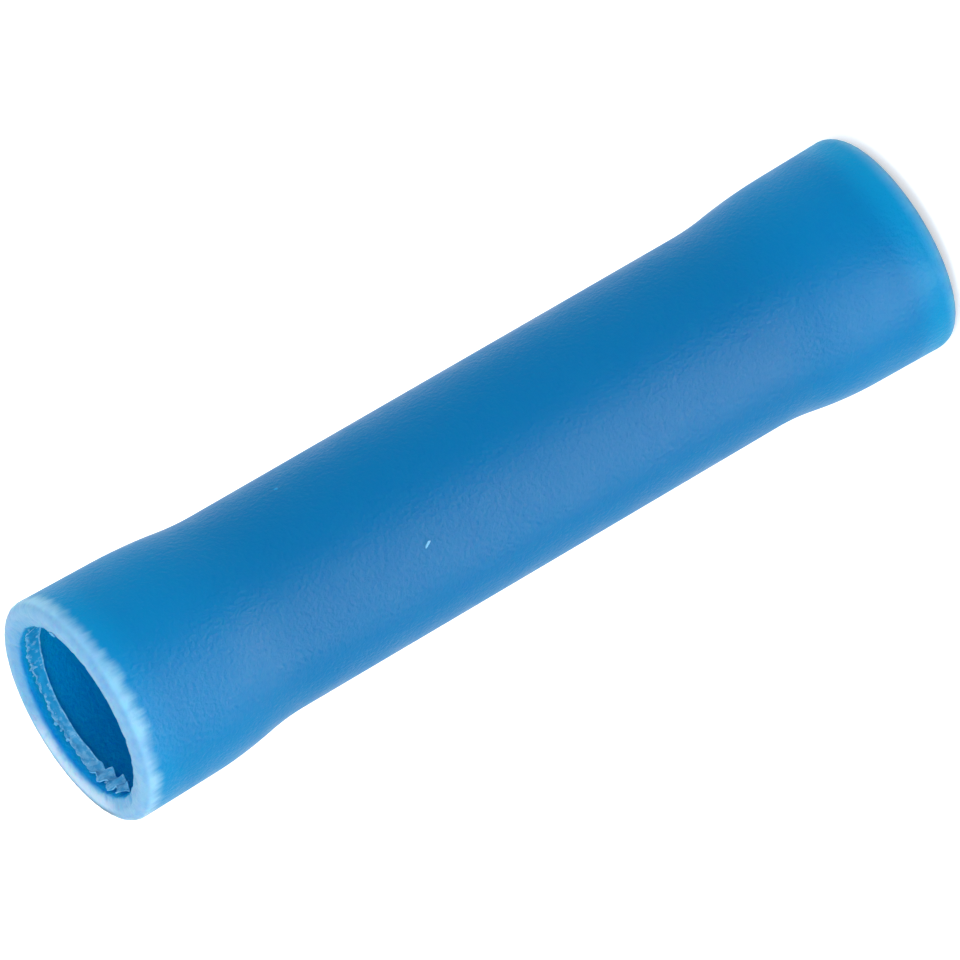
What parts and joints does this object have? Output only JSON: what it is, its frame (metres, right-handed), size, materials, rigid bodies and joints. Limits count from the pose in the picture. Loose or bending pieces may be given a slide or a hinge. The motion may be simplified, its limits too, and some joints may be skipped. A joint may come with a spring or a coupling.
{
  "type": "butt splice connector",
  "caption": "Insulated butt splice connector: a blue vinyl sleeve with flared mouths around a tinned copper crimp barrel that joins two stripped wires end to end.",
  "frame": {"origin": "centre of the lower rim, on the surface that the connector stands on", "axes": "+Z along the sleeve's axis, towards the mouth that the picture shows; X and Y across it"},
  "size_m": [0.006, 0.006, 0.025],
  "materials": {
    "blue_vinyl": "satin blue PVC, whitened where the mouth was flared and cut",
    "tinned_copper": "electro-tinned copper tube, satin"
  },
  "bodies": {
    "root": {"insulating_sleeve": "blue_vinyl", "crimp_barrel": "tinned_copper"}
  },
  "joints": []
}
